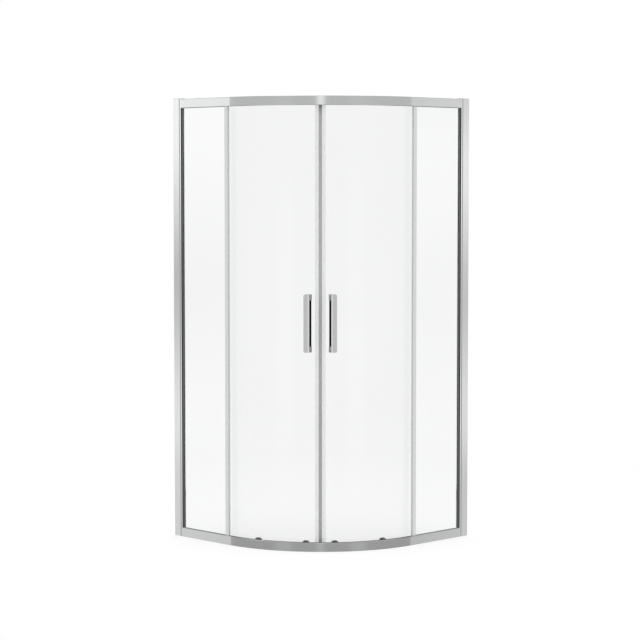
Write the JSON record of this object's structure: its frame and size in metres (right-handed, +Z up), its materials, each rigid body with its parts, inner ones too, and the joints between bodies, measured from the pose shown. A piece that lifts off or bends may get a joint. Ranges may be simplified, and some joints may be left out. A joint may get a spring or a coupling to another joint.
{
  "type": "corner entry shower door",
  "caption": "Quadrant corner shower enclosure with curved sliding glass doors, flat fixed panes, bright metal rails and wall profiles, magnetic meeting seals and slim handles.",
  "frame": {"origin": "centre of the square that the two walls and the outer faces bound, on the tray's level", "axes": "+Z up; the left pane's wall is the plane x = -0.4515, the right pane's wall is y = +0.4515, the curve bulges toward +X and -Y"},
  "size_m": [0.903, 0.903, 1.9],
  "materials": {
    "frame_metal": "polished, bright",
    "edge_metal": "silver",
    "trim_plastic": "silver",
    "glass": "clear, polished edges",
    "gasket_rubber": "black",
    "clear_seal": "translucent",
    "magnet_core": "grey",
    "handle_chrome": "polished",
    "handle_liner": "black",
    "fastener_steel": "plain",
    "stop_rubber": "black",
    "roller_plastic": "dark grey",
    "wheel_nylon": "white",
    "spring_steel": "plain"
  },
  "bodies": {
    "frame": {"bottom_rail": "frame_metal", "fixed_edge_strip_left": "edge_metal", "fixed_edge_strip_right": "edge_metal", "fixed_glass_left": "glass", "fixed_glass_right": "glass", "glazing_gasket_left": "gasket_rubber", "glazing_gasket_right": "gasket_rubber", "jamb_cap_left": "trim_plastic", "jamb_cap_right": "trim_plastic", "jamb_left": "frame_metal", "jamb_right": "frame_metal", "jamb_screws": "fastener_steel", "open_stops": "stop_rubber", "rail_screws": "fastener_steel", "rail_seals_bottom": "gasket_rubber", "rail_seals_top": "gasket_rubber", "screw_covers": "trim_plastic", "top_rail": "frame_metal", "wall_profile_left": "frame_metal", "wall_profile_right": "frame_metal"},
    "left_door": {"bottom_housings_left": "roller_plastic", "door_edge_seal_left": "clear_seal", "door_glass_left": "glass", "handle_back_bar_left": "handle_chrome", "handle_bolts_left": "fastener_steel", "handle_left": "handle_chrome", "handle_liner_left": "handle_liner", "magnet_strip_left": "magnet_core", "magnetic_seal_left": "clear_seal", "release_spring_left_front": "spring_steel", "release_spring_left_rear": "spring_steel", "top_axles_left": "fastener_steel", "top_bushes_left": "clear_seal"},
    "left_release_front": {"release_slider_left_front": "roller_plastic"},
    "left_top_wheel_front": {"top_wheel_left_front": "wheel_nylon"},
    "left_bottom_wheel_front": {"bottom_wheel_left_front": "wheel_nylon"},
    "left_release_rear": {"release_slider_left_rear": "roller_plastic"},
    "left_top_wheel_rear": {"top_wheel_left_rear": "wheel_nylon"},
    "left_bottom_wheel_rear": {"bottom_wheel_left_rear": "wheel_nylon"},
    "right_door": {"bottom_housings_right": "roller_plastic", "door_edge_seal_right": "clear_seal", "door_glass_right": "glass", "handle_back_bar_right": "handle_chrome", "handle_bolts_right": "fastener_steel", "handle_liner_right": "handle_liner", "handle_right": "handle_chrome", "magnet_strip_right": "magnet_core", "magnetic_seal_right": "clear_seal", "release_spring_right_front": "spring_steel", "release_spring_right_rear": "spring_steel", "top_axles_right": "fastener_steel", "top_bushes_right": "clear_seal"},
    "right_release_front": {"release_slider_right_front": "roller_plastic"},
    "right_top_wheel_front": {"top_wheel_right_front": "wheel_nylon"},
    "right_bottom_wheel_front": {"bottom_wheel_right_front": "wheel_nylon"},
    "right_release_rear": {"release_slider_right_rear": "roller_plastic"},
    "right_top_wheel_rear": {"top_wheel_right_rear": "wheel_nylon"},
    "right_bottom_wheel_rear": {"bottom_wheel_right_rear": "wheel_nylon"}
  },
  "joints": [
    {"name": "left_door_slide", "type": "hinge", "parent": "frame", "child": "left_door", "pos_m": [-0.11033, 0.14953, 0], "axis": [0, 0, -1], "range_deg": [0, 22.4]},
    {"name": "left_release_front_press", "type": "slide", "parent": "left_door", "child": "left_release_front", "axis": [0, 0, 1], "range_m": [-0.004, 0], "stiffness_N_per_m": 400, "springref_m": 0.006, "deforming": ["release_spring_left_front"]},
    {"name": "left_top_wheel_front_spin", "type": "hinge", "parent": "left_door", "child": "left_top_wheel_front", "pos_m": [0.23543, -0.32579, 1.8758], "axis": [0.6163, -0.7875, 0], "range_deg": [-1500, 1500]},
    {"name": "left_bottom_wheel_front_spin", "type": "hinge", "parent": "left_release_front", "child": "left_bottom_wheel_front", "pos_m": [0.23543, -0.32579, 0.0212], "axis": [0.6163, -0.7875, 0], "range_deg": [-1500, 1500]},
    {"name": "left_release_rear_press", "type": "slide", "parent": "left_door", "child": "left_release_rear", "axis": [0, 0, 1], "range_m": [-0.004, 0], "stiffness_N_per_m": 400, "springref_m": 0.006, "deforming": ["release_spring_left_rear"]},
    {"name": "left_top_wheel_rear_spin", "type": "hinge", "parent": "left_door", "child": "left_top_wheel_rear", "pos_m": [0.03326, -0.42341, 1.8758], "axis": [0.2334, -0.9724, 0], "range_deg": [-1500, 1500]},
    {"name": "left_bottom_wheel_rear_spin", "type": "hinge", "parent": "left_release_rear", "child": "left_bottom_wheel_rear", "pos_m": [0.03326, -0.42341, 0.0212], "axis": [0.2334, -0.9724, 0], "range_deg": [-1500, 1500]},
    {"name": "right_door_slide", "type": "hinge", "parent": "frame", "child": "right_door", "pos_m": [-0.14953, 0.11033, 0], "axis": [0, 0, 1], "range_deg": [0, 22.4]},
    {"name": "right_release_front_press", "type": "slide", "parent": "right_door", "child": "right_release_front", "axis": [0, 0, 1], "range_m": [-0.004, 0], "stiffness_N_per_m": 400, "springref_m": 0.006, "deforming": ["release_spring_right_front"]},
    {"name": "right_top_wheel_front_spin", "type": "hinge", "parent": "right_door", "child": "right_top_wheel_front", "pos_m": [0.32579, -0.23543, 1.8758], "axis": [0.7875, -0.6163, 0], "range_deg": [-1500, 1500]},
    {"name": "right_bottom_wheel_front_spin", "type": "hinge", "parent": "right_release_front", "child": "right_bottom_wheel_front", "pos_m": [0.32579, -0.23543, 0.0212], "axis": [0.7875, -0.6163, 0], "range_deg": [-1500, 1500]},
    {"name": "right_release_rear_press", "type": "slide", "parent": "right_door", "child": "right_release_rear", "axis": [0, 0, 1], "range_m": [-0.004, 0], "stiffness_N_per_m": 400, "springref_m": 0.006, "deforming": ["release_spring_right_rear"]},
    {"name": "right_top_wheel_rear_spin", "type": "hinge", "parent": "right_door", "child": "right_top_wheel_rear", "pos_m": [0.42341, -0.03326, 1.8758], "axis": [0.9724, -0.2334, 0], "range_deg": [-1500, 1500]},
    {"name": "right_bottom_wheel_rear_spin", "type": "hinge", "parent": "right_release_rear", "child": "right_bottom_wheel_rear", "pos_m": [0.42341, -0.03326, 0.0212], "axis": [0.9724, -0.2334, 0], "range_deg": [-1500, 1500]}
  ],
  "couplings": [
    {"joint": "left_top_wheel_front_spin", "follows": "left_door_slide", "ratio": 61.871},
    {"joint": "left_bottom_wheel_front_spin", "follows": "left_door_slide", "ratio": -61.871},
    {"joint": "left_top_wheel_rear_spin", "follows": "left_door_slide", "ratio": 62.175},
    {"joint": "left_bottom_wheel_rear_spin", "follows": "left_door_slide", "ratio": -62.175},
    {"joint": "right_top_wheel_front_spin", "follows": "right_door_slide", "ratio": -61.871},
    {"joint": "right_bottom_wheel_front_spin", "follows": "right_door_slide", "ratio": 61.871},
    {"joint": "right_top_wheel_rear_spin", "follows": "right_door_slide", "ratio": -62.175},
    {"joint": "right_bottom_wheel_rear_spin", "follows": "right_door_slide", "ratio": 62.175}
  ]
}
